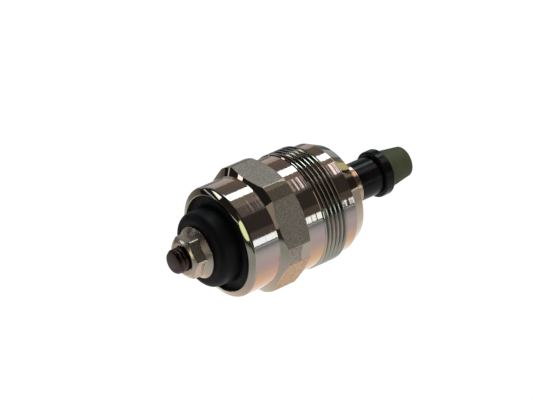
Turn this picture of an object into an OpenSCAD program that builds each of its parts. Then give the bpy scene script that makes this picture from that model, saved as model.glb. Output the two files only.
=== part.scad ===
// Fuel shutoff solenoid: a screw-in plunger solenoid with one threaded terminal.
// Millimetres. +Z runs along the axis towards the terminal stud. The origin is on
// the axis, in the plane where the screw thread meets the plain collar.

/* [Screw thread and nose] */
// Major diameter of the thread that screws into the pump
thread_d = 24; // [23.8:0.2:27]
// Length of the threaded band
thread_len = 6; // [5:0.5:9]
// Pitch of the thread, which the grooves round the band follow
thread_pitch = 1; // [0.75:0.25:1.5]
// Chamfer at the lower end of the thread
thread_chamfer = 0.6; // [0.3:0.1:1]
// Diameter of the plain pilot below the thread
pilot_d = 22.7; // [22.4:0.1:23.4]
// Length of the plain pilot
pilot_len = 2.4; // [1.5:0.1:4]
// Diameter of the flat end face
nose_d = 20.25; // [16:0.25:22]
// Length of the cone between the pilot and the end face
nose_len = 2.7; // [1.5:0.1:4]
// Thickness of the housing's end wall
end_wall = 3.1; // [2.5:0.1:4]

/* [Collar and hexagon] */
// Diameter of the plain collar above the thread
collar_d = 23.5; // [22.8:0.1:23.8]
// Length of the plain collar
collar_len = 3.95; // [2:0.05:6]
// Hexagon size across its flats
hex_af = 24; // [23.9:0.1:26]
// Diameter to which the hexagon's corners are turned
hex_corner_d = 25.85; // [25:0.05:27]
// Height of the hexagon
hex_h = 6.8; // [5:0.1:9]
// Angle of the hexagon's chamfers, measured from its end faces
hex_chamfer_deg = 31; // [20:1:40]
// Step between the flats and the inner edge of the lower chamfer
hex_foot = 0.1; // [0.05:0.05:0.3]

/* [Barrel and crimped lip] */
// Outside diameter of the barrel above the hexagon
barrel_d = 22.7; // [22.6:0.1:23.4]
// Length of the barrel up to the start of the crimp
barrel_len = 5.85; // [4:0.05:9]
// Bore that holds the coil
bore_d = 19.2; // [18.8:0.1:19.4]
// Wall of the thinned rim that is rolled over the cap
rim_wall = 1; // [0.8:0.05:1.1]
// Height of the rolled lip
lip_h = 0.85; // [0.7:0.05:1.4]
// Rounding where the barrel turns into the lip
lip_round = 0.4; // [0.2:0.05:0.6]
// Reach of the rolled lip over the edge of the cap
lip_over = 0.5; // [0.4:0.05:1]
// Rounding of the lip's inner edge
lip_edge = 0.12; // [0.05:0.01:0.2]
// Depth of the cap's rim below the top of the lip
lip_depth = 0.9; // [0.7:0.05:1.1]

/* [Guide tube] */
// Outside diameter of the tube, which shows as the neck
tube_od = 9.15; // [8.8:0.05:9.6]
// Wall of the tube
tube_wall = 0.5; // [0.4:0.05:0.7]
// Length of tube that stands out of the end face
neck_len = 4.9; // [3:0.1:6]
// Rounding of the tube's open end
neck_round = 0.3; // [0.1:0.05:0.35]
// Diameter of the tube's inner flange
tube_flange_d = 13.6; // [12.6:0.2:16]
// Thickness of the tube's inner flange
tube_flange_t = 0.5; // [0.4:0.05:0.8]
// Section of the ring that seals the tube in the end wall
tube_ring_d = 1; // [0.8:0.05:1.2]

/* [Plunger] */
// Running clearance between plunger and tube, on the radius
run_clear = 0.08; // [0.03:0.01:0.1]
// Working travel of the plunger
travel = 2.5; // [1.5:0.1:3]
// Length of shaft that shows between neck and head
shaft_show = 5.6; // [4:0.1:8]
// Diameter of the plunger's head
head_d = 9.65; // [9:0.05:11]
// Length of the plunger's head
head_len = 2.4; // [2:0.1:4]
// Rounding of the head's edges
head_round = 0.45; // [0.2:0.05:0.8]
// Depth of the spring pocket in the plunger
pocket_depth = 9; // [6:0.5:12]
// Diameter of the cross hole that lets fuel out of the pocket
vent_d = 1.4; // [1:0.1:2]
// Chamfer at the plunger's inner end
shaft_chamfer = 0.3; // [0.1:0.05:0.6]

/* [Seal tip] */
// Diameter of the tip where it meets the head
tip_base_d = 8.1; // [7:0.1:9]
// Diameter at the end of the tip
tip_end_d = 6.4; // [5:0.1:7]
// Length of the tip
tip_len = 6; // [4:0.25:9]
// Rounding of the tip's end
tip_round = 0.45; // [0.2:0.05:1]
// Diameter of the tip's stem inside the head
stem_d = 3; // [2:0.1:3.6]
// Diameter of the bead that locks the stem
bead_d = 4.2; // [4:0.1:5]

/* [Return spring] */
// Wire diameter
wire_d = 0.6; // [0.4:0.05:0.8]
// Mean diameter of the coil
coil_d = 4; // [3.2:0.1:4.2]
// Room round the coil in its pocket and in the core's seat
coil_room = 0.3; // [0.2:0.05:0.4]
// Number of turns, with one closed turn at each end
turns = 9; // [7:1:11]

/* [Fixed core] */
// Length of the core below the end plate
core_len = 7.75; // [6.5:0.25:9]
// Diameter of the core's shank through the end plate
shank_d = 6; // [5:0.5:7]
// Depth of the spring seat in the core
seat_depth = 1.45; // [1:0.05:2.5]
// Thickness of the non-magnetic disc on the core's face
shim_t = 0.2; // [0.1:0.05:0.4]
// Distance of the disc's edge from the core's edge
shim_inset = 0.4; // [0.2:0.1:0.8]
// Section of the core's sealing ring
core_ring_d = 0.86; // [0.7:0.02:1]

/* [Coil] */
// Radial thickness of the bobbin's hub
hub_wall = 0.75; // [0.6:0.05:1]
// Thickness of the bobbin's flanges
bobbin_flange_t = 1; // [0.8:0.1:1.5]
// Diameter of the bobbin's flanges
bobbin_d = 18.8; // [18.4:0.1:18.8]
// Diameter over the winding
winding_d = 17.8; // [15:0.2:18]
// Visible pitch of the wound wire
winding_pitch = 0.6; // [0.5:0.05:0.9]
// Thickness of the tape round the winding
tape_t = 0.2; // [0.1:0.05:0.25]
// Height of the wave washer above the bobbin
wave_h = 0.8; // [0.6:0.05:1.2]
// Thickness of the wave washer's strip
wave_t = 0.3; // [0.2:0.05:0.4]
// Distance of the wave washer from the bobbin's edge and from the sleeve
wave_inset = 0.3; // [0.2:0.05:0.5]

/* [End plate and gasket] */
// Thickness of the steel end plate
plate_t = 1.5; // [1.2:0.1:2]
// Thickness of the gasket and of the insulating disc beside it
gasket_t = 0.5; // [0.4:0.05:0.8]
// Width of the gasket's ring
gasket_w = 1.65; // [1.2:0.05:1.9]

/* [Insulator cap] */
// Thickness of the cap's rim
cap_rim_h = 2.05; // [1.8:0.05:2.6]
// Diameter of the cap's boss at its top
boss_d = 15.4; // [14.5:0.1:16]
// Height of the boss above the rim
boss_h = 5.35; // [4:0.05:7]
// Rounding of the boss's top edge
boss_round = 1.5; // [0.5:0.1:2]
// Fillet at the foot of the boss
boss_fillet = 0.8; // [0.4:0.1:1]
// Depth of the chamber under the cap
chamber_h = 2.7; // [2.4:0.1:3]
// Diameter of the chamber under the cap
chamber_d = 14; // [13.8:0.1:14.2]

/* [Terminal] */
// Diameter of the terminal stud
stud_d = 5; // [4:0.5:5]
// Length of stud above the cap
stud_out = 6.15; // [5.5:0.05:12]
// Chamfer at the stud's end
stud_chamfer = 0.45; // [0.2:0.05:0.6]
// Width of the stud's square head
stud_head_w = 7; // [6.6:0.1:7.4]
// Thickness of the stud's square head
stud_head_t = 1.5; // [1.2:0.1:2]
// Height of the rivet under the contact strip
rivet_h = 0.4; // [0.3:0.05:0.6]
// Section of the ring that seals the stud
stud_ring_d = 0.9; // [0.7:0.05:1]
// Nut size across its flats
nut_af = 7.8; // [7.6:0.1:9]
// Height of the nut
nut_h = 3.9; // [3.5:0.1:5]
// Diameter of the nut's flange
nut_flange_d = 10.5; // [9.8:0.1:12]
// Thickness of the flange at its rim
nut_rim_t = 0.45; // [0.3:0.05:0.7]
// Height of the flange with its cone
nut_flange_h = 1.45; // [1.2:0.05:2]
// Chamfer at the top of the nut, across its corners
nut_crown = 0.75; // [0.3:0.05:1]
// Rounding of the flange's lower edge
nut_foot = 0.1; // [0.05:0.05:0.2]
// Turn of the nut from the hexagon, in degrees
nut_turn = 9; // [0:1:59]

/* [Leads] */
// Diameter of the lead wires
lead_d = 0.8; // [0.5:0.05:0.9]
// Distance of the leads from the axis
lead_r = 5.7; // [5.6:0.05:5.8]
// Outside diameter of the insulating sleeve
sleeve_d = 2.1; // [1.8:0.1:2.2]
// Thickness of the brass contact strip
contact_t = 0.5; // [0.3:0.05:0.6]
// Width of the contact strip's arm
contact_w = 2.4; // [2:0.1:2.6]

/* [Hidden] */
// Gap between pieces that are pressed or laid together
fit = 0.02;
// Gap between pieces that go together loosely
slip = 0.05;
// Gap that stays between the plunger and the disc at full travel
stop_gap = 0.05;
// Overrun of a cutter past the face that it leaves by
over = 1;
// Smoothness of round parts
$fn = 64;
// Number of straight steps in a turned arc
arc_steps = 8;

// Levels of the housing, along the axis
z_pilot = -thread_len;
z_nose = z_pilot - pilot_len;
z_end = z_nose - nose_len;
z_neck = z_end - neck_len;
z_floor = z_end + end_wall;
z_hex = collar_len;
z_barrel = z_hex + hex_h;
z_lip = z_barrel + barrel_len;
z_top = z_lip + lip_h;

// Levels of what is stacked under the lip
z_rim = z_top - lip_depth;
z_cap = z_rim - cap_rim_h;
z_plate_top = z_cap - gasket_t;
z_plate = z_plate_top - plate_t;
z_boss = z_rim + boss_h;
z_chamber = z_cap + chamber_h;
z_head_top = z_chamber + stud_head_t;
z_stud = z_boss + stud_out;

// Levels of the coil
z_bobbin = z_floor + tube_flange_t;
z_bobbin_top = z_plate - wave_h;
z_wind = z_bobbin + bobbin_flange_t;
z_wind_top = z_bobbin_top - bobbin_flange_t;

// Levels of the core, the plunger and the spring
z_core = z_plate - core_len;
z_shaft_top = z_core - shim_t - stop_gap - travel;
z_head = z_neck - shaft_show;
z_tip = z_head - head_len;
z_pocket = z_shaft_top - pocket_depth;
z_seat = z_core + seat_depth;

// Radii that follow from the fits
rim_r = barrel_d / 2 - rim_wall;
cap_r = rim_r - 2 * slip;
lip_r = rim_r - lip_over;
cap_chamfer = cap_r - lip_r + slip;
tube_r = tube_od / 2;
tube_bore_r = tube_r - tube_wall;
shaft_r = tube_bore_r - run_clear;
core_r = tube_bore_r - slip;
hub_bore_r = tube_r + slip;
hub_r = hub_bore_r + hub_wall;
pocket_r = coil_d / 2 + wire_d / 2 + coil_room;
ring_seat_r = tube_r + tube_ring_d + 3 * slip;
lead_hole_r = lead_d / 2 + slip;
sleeve_hole_r = sleeve_d / 2 + 2 * slip;
stud_r = stud_d / 2;
wave_in_r = lead_r + sleeve_d / 2 + wave_inset;
wave_out_r = bobbin_d / 2 - wave_inset;

// Points of an elliptical arc about a centre, from angle a0 to angle a1
function arc(cx, cy, rx, ry, a0, a1) =
    [for (i = [0 : arc_steps])
        let (a = a0 + (a1 - a0) * i / arc_steps)
        [cx + rx * cos(a), cy + ry * sin(a)]];

// A plain ring from its radii and its two levels
module ring(r_in, r_out, z0, z1) {
    rotate_extrude()
        polygon([[r_in, z0], [r_out, z0], [r_out, z1], [r_in, z1]]);
}

// A sealing ring of round section
module seal_ring(mean_r, section_d, z) {
    rotate_extrude()
        translate([mean_r, z])
            circle(d = section_d);
}

// A round piece or cutter along the axis
module rod(r, z0, z1) {
    translate([0, 0, z0])
        cylinder(r = r, h = z1 - z0);
}

// Grooves of the thread, from the lowest up to the collar, as one outline of crests and roots
function thread_outline() =
    let (crest_r = thread_d / 2)
    let (root_r = crest_r - 0.6134 * thread_pitch)
    let (crest_w = thread_pitch / 8)
    let (root_w = thread_pitch / 4)
    let (count = floor((thread_len - thread_chamfer - crest_w) / thread_pitch))
    [for (i = [0 : count - 1]) each
        let (middle = -crest_w - (count - i - 0.5) * thread_pitch)
        [[crest_r, middle - (thread_pitch - crest_w) / 2],
         [root_r, middle - root_w / 2],
         [root_r, middle + root_w / 2],
         [crest_r, middle + (thread_pitch - crest_w) / 2]]];

// Outline of the housing as it is turned, before the six flats are formed
module housing_outline() {
    rise = tan(hex_chamfer_deg);
    corner_r = hex_corner_d / 2;
    foot_r = hex_af / 2 - hex_foot;
    lip_slope = 62;
    under = z_rim + slip;
    polygon(concat(
        [[tube_r + fit, z_end],
         [nose_d / 2, z_end],
         [pilot_d / 2, z_nose],
         [pilot_d / 2, z_pilot],
         [thread_d / 2, z_pilot + thread_chamfer]],
        thread_outline(),
        [[thread_d / 2, 0],
         [collar_d / 2, 0],
         [collar_d / 2, z_hex],
         [foot_r, z_hex],
         [corner_r, z_hex + (corner_r - foot_r) * rise],
         [corner_r, z_barrel - (corner_r - barrel_d / 2) * rise],
         [barrel_d / 2, z_barrel]],
        arc(barrel_d / 2 - lip_round, z_lip, lip_round, lip_round, 0, lip_slope),
        [[lip_r + lip_edge, z_top],
         [lip_r, z_top - lip_edge],
         [lip_r, under],
         [rim_r, under - (rim_r - lip_r)],
         [rim_r, z_plate],
         [bore_d / 2, z_plate],
         [bore_d / 2, z_floor],
         [ring_seat_r, z_floor],
         [ring_seat_r, z_floor - tube_ring_d - slip],
         [tube_r + fit, z_floor - tube_ring_d - slip]]));
}

// Steel housing, one piece: nose, thread band, collar, hexagon, barrel and crimped lip
module housing() {
    flat_w = hex_af;
    flat_deep = hex_corner_d / 2;
    flat_z0 = z_hex - collar_len / 2;
    flat_z1 = z_barrel + barrel_len / 2;
    color("silver")
        difference() {
            rotate_extrude()
                housing_outline();
            for (i = [0 : 5])
                rotate([0, 0, 60 * i - 90])
                    translate([hex_af / 2, -flat_w / 2, flat_z0])
                        cube([flat_deep, flat_w, flat_z1 - flat_z0]);
        }
}

// Non-magnetic tube that carries plunger and core, flanged inside the end wall
module guide_tube() {
    top = z_plate - slip;
    color("gainsboro")
        rotate_extrude()
            polygon(concat(
                arc(tube_r - neck_round, z_neck + neck_round, neck_round, neck_round, -90, 0),
                [[tube_r, z_floor],
                 [tube_flange_d / 2, z_floor],
                 [tube_flange_d / 2, z_bobbin],
                 [tube_r, z_bobbin],
                 [tube_r, top],
                 [tube_bore_r, top],
                 [tube_bore_r, z_neck]]));
}

// Rubber ring that seals the tube in the end wall
module tube_ring() {
    mean_r = (tube_r + ring_seat_r) / 2;
    color("dimgray")
        seal_ring(mean_r, tube_ring_d, z_floor - tube_ring_d / 2 - slip / 2);
}

// Outline of the plunger: shaft above, head below
module plunger_outline() {
    head_r = head_d / 2;
    polygon(concat(
        [[0, z_tip]],
        arc(head_r - head_round, z_tip + head_round, head_round, head_round, -90, 0),
        arc(head_r - head_round, z_head - head_round, head_round, head_round, 0, 90),
        [[shaft_r, z_head],
         [shaft_r, z_shaft_top - shaft_chamfer],
         [shaft_r - shaft_chamfer, z_shaft_top],
         [0, z_shaft_top]]));
}

// Stem and locking bead of the seal tip, with a margin for the hole round them
module tip_stem(margin) {
    neck_h = head_len / 3;
    bead_h = head_len / 2;
    rod(stem_d / 2 + margin, z_tip - margin, z_tip + neck_h + margin);
    rod(bead_d / 2 + margin, z_tip + neck_h - margin, z_tip + neck_h + bead_h + margin);
}

// Black steel plunger, one piece with its head
module plunger() {
    vent_z = z_pocket + vent_d;
    color([0.13, 0.13, 0.14])
        difference() {
            rotate_extrude()
                plunger_outline();
            rod(pocket_r, z_pocket, z_shaft_top + over);
            tip_stem(fit);
            translate([0, 0, vent_z])
                rotate([90, 0, 0])
                    cylinder(d = vent_d, h = thread_d, center = true, $fn = 32);
        }
}

// Olive rubber tip that closes the fuel way, locked in the head by its bead
module seal_tip() {
    base_z = z_tip - slip;
    end_z = base_z - tip_len;
    end_r = tip_end_d / 2;
    color([0.36, 0.4, 0.26])
        union() {
            rotate_extrude()
                polygon(concat(
                    [[0, end_z]],
                    arc(end_r - tip_round, end_z + tip_round, tip_round, tip_round, -90, 0),
                    [[tip_base_d / 2, base_z],
                     [0, base_z]]));
            rotate_extrude()
                polygon([[0, end_z + tip_round],
                         [stem_d / 2, end_z + tip_round],
                         [stem_d / 2, z_tip + head_len / 3],
                         [bead_d / 2, z_tip + head_len / 3],
                         [bead_d / 2, z_tip + head_len * 5 / 6],
                         [0, z_tip + head_len * 5 / 6]]);
        }
}

// Helical spring between the plunger's pocket and the core's seat
module return_spring() {
    sides = 8;
    per_turn = 20;
    count = turns * per_turn;
    low = z_pocket + fit + wire_d / 2;
    high = z_seat - fit - wire_d / 2;
    closed = wire_d * 1.05;
    open = (high - low - 2 * closed) / (turns - 2);
    function rise(t) =
        t < 1 ? closed * t
        : t < turns - 1 ? closed + open * (t - 1)
        : closed * (t - turns + 2) + open * (turns - 2);
    function spot(i, j) =
        let (t = i / per_turn)
        let (a = 360 * j / sides)
        let (r = coil_d / 2 + wire_d / 2 * cos(a))
        [r * cos(360 * t), r * sin(360 * t), low + rise(t) + wire_d / 2 * sin(a)];
    points = [for (i = [0 : count]) for (j = [0 : sides - 1]) spot(i, j)];
    walls = [for (i = [0 : count - 1]) for (j = [0 : sides - 1])
        let (k = (j + 1) % sides)
        [i * sides + j, i * sides + k, (i + 1) * sides + k, (i + 1) * sides + j]];
    first = [for (j = [sides - 1 : -1 : 0]) j];
    last = [for (j = [0 : sides - 1]) count * sides + j];
    color("darkgray")
        polyhedron(points = points, faces = concat(walls, [first, last]), convexity = 10);
}

// Thin non-magnetic disc that keeps the plunger from sticking to the core
module core_shim() {
    color("goldenrod")
        ring(pocket_r, core_r - shim_inset, z_core - shim_t, z_core);
}

// Fixed iron core, riveted into the end plate
module fixed_core() {
    groove_h = core_ring_d + 4 * slip;
    groove_z = z_core + core_len / 2;
    groove_r = core_r - core_ring_d - fit;
    color("lightslategray")
        difference() {
            union() {
                rod(core_r, z_core, z_plate);
                rod(shank_d / 2, z_plate - over, z_plate_top);
            }
            rod(pocket_r, z_core - over, z_seat);
            ring(groove_r, core_r + over, groove_z, groove_z + groove_h);
        }
}

// Rubber ring in the core's groove
module core_ring() {
    groove_h = core_ring_d + 4 * slip;
    mean_r = tube_bore_r - fit - core_ring_d / 2;
    color("dimgray")
        seal_ring(mean_r, core_ring_d, z_core + core_len / 2 + groove_h / 2);
}

// Moulded bobbin with a wire hole on each side of its upper flange
module bobbin() {
    flange_r = bobbin_d / 2;
    color("ivory")
        difference() {
            rotate_extrude()
                polygon([[hub_bore_r, z_bobbin],
                         [flange_r, z_bobbin],
                         [flange_r, z_wind],
                         [hub_r, z_wind],
                         [hub_r, z_wind_top],
                         [flange_r, z_wind_top],
                         [flange_r, z_bobbin_top],
                         [hub_bore_r, z_bobbin_top]]);
            for (side = [-1, 1])
                translate([side * lead_r, 0, z_wind_top])
                    cylinder(r = lead_hole_r, h = bobbin_flange_t + over, $fn = 32);
        }
}

// Copper winding, with the outer layer's turns as ridges
module winding() {
    count = floor((z_wind_top - z_wind - 2 * fit) / winding_pitch);
    base_r = winding_d / 2 - winding_pitch / 4;
    start = z_wind + fit;
    stop = z_wind_top - fit;
    step = (stop - start) / count;
    ridge = winding_pitch / 4;
    color("chocolate")
        rotate_extrude()
            polygon(concat(
                [[hub_r + fit, start]],
                [for (i = [0 : count - 1]) each
                    [[base_r, start + i * step],
                     [base_r + ridge, start + (i + 0.3) * step],
                     [base_r + ridge, start + (i + 0.7) * step]]],
                [[base_r, stop],
                 [hub_r + fit, stop]]));
}

// Tape round the winding
module winding_tape() {
    in_r = winding_d / 2 + fit;
    color("darkkhaki")
        ring(in_r, in_r + tape_t, z_wind + slip, z_wind_top - slip);
}

// Wave washer that presses the bobbin down on the tube's flange
module wave_washer() {
    steps = 48;
    waves = 4;
    lift = (wave_h - wave_t) / 2 - fit;
    mid = z_bobbin_top + wave_h / 2;
    function level(i) = mid + lift * sin(360 * waves * i / steps);
    function corner(i, r, side) =
        [r * cos(360 * i / steps), r * sin(360 * i / steps), level(i) + side * wave_t / 2];
    points = [for (i = [0 : steps - 1]) each
        [corner(i, wave_in_r, -1), corner(i, wave_out_r, -1),
         corner(i, wave_out_r, 1), corner(i, wave_in_r, 1)]];
    walls = [for (i = [0 : steps - 1]) for (j = [0 : 3])
        let (n = (i + 1) % steps)
        let (k = (j + 1) % 4)
        [i * 4 + k, i * 4 + j, n * 4 + j, n * 4 + k]];
    color("lightsteelblue")
        polyhedron(points = points, faces = walls, convexity = 6);
}

// Steel plate that closes the magnetic path on top of the coil
module end_plate() {
    color("slategray")
        difference() {
            rod(cap_r, z_plate, z_plate_top);
            rod(shank_d / 2 + fit, z_plate - over, z_plate_top + over);
            translate([lead_r, 0, z_plate - over])
                cylinder(r = sleeve_hole_r, h = plate_t + 2 * over, $fn = 32);
        }
}

// Flat rubber gasket under the cap's rim
module cap_gasket() {
    color("dimgray")
        ring(cap_r - gasket_w, cap_r, z_plate_top, z_cap);
}

// Fibre disc that keeps the contact strip off the end plate
module insulating_disc() {
    color("peru")
        difference() {
            rod(cap_r - gasket_w - 4 * slip, z_plate_top, z_cap);
            translate([lead_r, 0, z_plate_top - over])
                cylinder(r = sleeve_hole_r, h = gasket_t + 2 * over, $fn = 32);
        }
}

// Black moulded cap with the terminal's boss, held by the rolled lip
module insulator_cap() {
    boss_r = boss_d / 2;
    hole_r = stud_r + slip;
    ring_r = stud_r + stud_ring_d + 3 * slip;
    pocket_w = stud_head_w + 4 * slip;
    color([0.1, 0.1, 0.11])
        difference() {
            rotate_extrude()
                polygon(concat(
                    [[hole_r, z_chamber],
                     [chamber_d / 2, z_chamber],
                     [chamber_d / 2, z_cap],
                     [cap_r, z_cap],
                     [cap_r, z_rim - cap_chamfer],
                     [cap_r - cap_chamfer, z_rim]],
                    arc(boss_r + boss_fillet, z_rim + boss_fillet, boss_fillet, boss_fillet,
                        270, 180),
                    arc(boss_r - boss_round, z_boss - boss_round, boss_round, boss_round,
                        0, 90),
                    [[hole_r, z_boss]]));
            translate([-pocket_w / 2, -pocket_w / 2, z_chamber - over])
                cube([pocket_w, pocket_w, stud_head_t + over]);
            rod(ring_r, z_head_top - over, z_head_top + stud_ring_d + slip);
        }
}

// Bronze terminal stud with a square head below and a riveted tail under it
module terminal_stud() {
    tail_r = stud_r / 2;
    rivet_r = tail_r + rivet_h * 1.5;
    z_strip = z_chamber - contact_t;
    color([0.35, 0.27, 0.22])
        union() {
            translate([-stud_head_w / 2, -stud_head_w / 2, z_chamber])
                cube([stud_head_w, stud_head_w, stud_head_t]);
            rotate_extrude()
                polygon([[0, z_head_top - stud_head_t / 2],
                         [stud_r, z_head_top - stud_head_t / 2],
                         [stud_r, z_stud - stud_chamfer],
                         [stud_r - stud_chamfer, z_stud],
                         [0, z_stud]]);
            rotate_extrude()
                polygon([[0, z_strip - rivet_h],
                         [rivet_r, z_strip - rivet_h],
                         [rivet_r, z_strip],
                         [tail_r, z_strip],
                         [tail_r, z_chamber + stud_head_t / 2],
                         [0, z_chamber + stud_head_t / 2]]);
        }
}

// Rubber ring round the stud, squeezed between its head and the cap
module stud_ring() {
    color("dimgray")
        seal_ring(stud_r + fit + stud_ring_d / 2, stud_ring_d,
                  z_head_top + stud_ring_d / 2 + slip / 2);
}

// Brass strip that joins the supply lead to the stud
module contact_strip() {
    disc_r = stud_head_w / 2;
    z_strip = z_chamber - contact_t;
    color("gold")
        difference() {
            union() {
                rod(disc_r, z_strip, z_chamber);
                translate([0, -contact_w / 2, z_strip])
                    cube([lead_r, contact_w, contact_t]);
                translate([lead_r, 0, z_strip])
                    cylinder(d = contact_w * 0.95, h = contact_t);
            }
            rod(stud_r / 2 + fit, z_strip - over, z_chamber + over);
            translate([lead_r, 0, z_strip - over])
                cylinder(r = lead_d / 2 + fit, h = contact_t + 2 * over, $fn = 32);
        }
}

// Lead from the winding to the contact strip
module supply_lead() {
    color("orangered")
        translate([lead_r, 0, z_wind_top])
            cylinder(d = lead_d, h = z_chamber - z_wind_top - slip, $fn = 32);
}

// Insulating sleeve where the supply lead passes the end plate
module lead_sleeve() {
    z0 = z_bobbin_top + slip;
    z1 = z_cap + chamber_h / 3;
    color("white")
        translate([lead_r, 0, z0])
            difference() {
                cylinder(d = sleeve_d, h = z1 - z0, $fn = 32);
                translate([0, 0, -over])
                    cylinder(r = lead_hole_r, h = z1 - z0 + 2 * over, $fn = 32);
            }
}

// Lead from the winding's other end to the end plate
module earth_lead() {
    color("darkorange")
        translate([-lead_r, 0, z_wind_top])
            cylinder(d = lead_d, h = z_plate - z_wind_top, $fn = 32);
}

// Flanged hexagon nut on the stud
module terminal_nut() {
    z0 = z_boss + fit;
    z1 = z0 + nut_h;
    flange_r = nut_flange_d / 2;
    neck_r = nut_af / 2;
    corner_r = nut_af / 2 / cos(30);
    color("lightgray")
        difference() {
            union() {
                rotate_extrude()
                    polygon([[0, z0],
                             [flange_r - nut_foot, z0],
                             [flange_r, z0 + nut_foot],
                             [flange_r, z0 + nut_rim_t],
                             [neck_r, z0 + nut_flange_h],
                             [0, z0 + nut_flange_h]]);
                intersection() {
                    translate([0, 0, z0 + nut_rim_t])
                        rotate([0, 0, nut_turn])
                            cylinder(r = corner_r, h = z1 - z0 - nut_rim_t, $fn = 6);
                    rotate_extrude()
                        polygon([[0, z0],
                                 [corner_r + over, z0],
                                 [corner_r + over, z1 - (nut_crown + over) * tan(30)],
                                 [corner_r - nut_crown, z1],
                                 [0, z1]]);
                }
            }
            rod(stud_r + slip, z0 - over, z1 + over);
        }
}

housing();
guide_tube();
tube_ring();
plunger();
seal_tip();
return_spring();
core_shim();
fixed_core();
core_ring();
bobbin();
winding();
winding_tape();
wave_washer();
end_plate();
cap_gasket();
insulating_disc();
insulator_cap();
terminal_stud();
stud_ring();
contact_strip();
supply_lead();
lead_sleeve();
earth_lead();
terminal_nut();
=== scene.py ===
import math

import bmesh
import bpy
from mathutils import Matrix, Vector


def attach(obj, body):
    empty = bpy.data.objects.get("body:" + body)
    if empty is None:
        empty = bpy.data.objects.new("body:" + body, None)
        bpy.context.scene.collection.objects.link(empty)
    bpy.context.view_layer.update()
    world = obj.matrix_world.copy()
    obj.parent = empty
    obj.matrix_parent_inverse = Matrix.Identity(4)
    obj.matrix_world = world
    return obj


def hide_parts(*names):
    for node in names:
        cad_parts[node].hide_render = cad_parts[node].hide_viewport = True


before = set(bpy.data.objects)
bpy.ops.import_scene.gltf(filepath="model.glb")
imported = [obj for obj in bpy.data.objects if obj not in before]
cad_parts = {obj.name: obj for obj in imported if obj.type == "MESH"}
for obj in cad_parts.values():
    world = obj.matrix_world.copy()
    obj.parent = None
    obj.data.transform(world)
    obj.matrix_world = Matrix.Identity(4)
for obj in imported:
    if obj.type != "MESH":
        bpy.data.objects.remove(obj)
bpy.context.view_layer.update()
bpy.context.scene.view_settings.view_transform = "Standard"

# Camera. The part lies on one flat of its hexagon with the terminal at the front left, and a
# long lens looks down on it from 600 mm. The frame's Z axis is the part's own axis.
MM = 0.001
IMAGE_WIDTH_PX = 533
SENSOR_WIDTH = 36
PX_PER_MM = 5.11
sight_distance_mm = 600
axis_to_sight = math.radians(58.4)
sight_azimuth = math.radians(-80.8)
picture_turn = math.radians(23.7)
origin_right_px = 20.4
origin_below_px = 12.5

part_axis = Vector((0, 0, 1))
sideways = Vector((math.cos(sight_azimuth), math.sin(sight_azimuth), 0))
across = part_axis.cross(sideways)
to_viewer = math.sin(axis_to_sight) * sideways + math.cos(axis_to_sight) * part_axis
along = math.cos(axis_to_sight) * sideways - math.sin(axis_to_sight) * part_axis
picture_right = math.cos(picture_turn) * along - math.sin(picture_turn) * across
picture_up = math.sin(picture_turn) * along + math.cos(picture_turn) * across
picture_centre = (origin_below_px * picture_up - origin_right_px * picture_right) * MM / PX_PER_MM

lens = bpy.data.cameras.new("camera")
lens.sensor_width = SENSOR_WIDTH
lens.lens = PX_PER_MM * sight_distance_mm * SENSOR_WIDTH / IMAGE_WIDTH_PX
lens.clip_start = 10 * MM
lens.clip_end = 10000 * MM
camera = bpy.data.objects.new("camera", lens)
camera.matrix_world = Matrix.Translation(
    picture_centre + to_viewer * sight_distance_mm * MM
) @ Matrix((picture_right, picture_up, to_viewer)).transposed().to_4x4()
bpy.context.scene.collection.objects.link(camera)
bpy.context.scene.camera = camera


# Studio. A pale floor lies under the part, a dark tent over it, and two strip lights and a few
# small cards in the tent show in the plated metal. Large soft lamps light what is matt.
def add_node(tree, kind, sockets=None, **settings):
    """One shader node. Settings are its properties, sockets its inputs, as values or as outputs to link."""
    made = tree.nodes.new(kind)
    for label, value in settings.items():
        setattr(made, label, value)
    for label, value in (sockets or {}).items():
        if isinstance(value, bpy.types.NodeSocket):
            tree.links.new(value, made.inputs[label])
        else:
            made.inputs[label].default_value = value
    return made


def seen_directly(tree):
    """1 for rays from the camera, from gloss and through glass, and 0 for the light on the part."""
    rays = add_node(tree, "ShaderNodeLightPath").outputs
    seen = rays["Is Camera Ray"]
    for kind in ("Is Glossy Ray", "Is Transmission Ray"):
        seen = add_node(tree, "ShaderNodeMath", {0: seen, 1: rays[kind]}, operation="MAXIMUM").outputs[0]
    return seen


WHITE = (1, 1, 1, 1)
floor_up_azimuth = math.radians(-30)
floor_up = Vector((math.cos(floor_up_azimuth), math.sin(floor_up_azimuth), 0))
floor_drop_mm = 70
floor_radius_mm = 3000
floor_whitening = 0.6
towards_back = Vector((-floor_up.y, floor_up.x, 0))
# Painted shade on the floor as gloss sees it: its white is dimmed away from the part along its axis and
# behind it, and nearly put out far beyond the terminal end. Each row: a direction, where the dimming starts
# and ends, and what is left
floor_gloss_shade = (
    (part_axis, 20, 140, 0.60),
    (part_axis, 240, 330, 0.08),
    (-part_axis, 100, 350, 0.55),
    (towards_back, 50, 200, 0.30),
    (-towards_back, 100, 1200, 0.75),
)

floor_shape = bmesh.new()
bmesh.ops.create_circle(floor_shape, cap_ends=True, segments=96, radius=floor_radius_mm * MM)
bmesh.ops.transform(
    floor_shape,
    matrix=Matrix.Translation(-floor_up * floor_drop_mm * MM)
    @ floor_up.to_track_quat("Z", "Y").to_matrix().to_4x4(),
    verts=floor_shape.verts,
)
floor_mesh = bpy.data.meshes.new("floor")
floor_shape.to_mesh(floor_mesh)
floor_shape.free()
floor = bpy.data.objects.new("floor", floor_mesh)
bpy.context.scene.collection.objects.link(floor)

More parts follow.
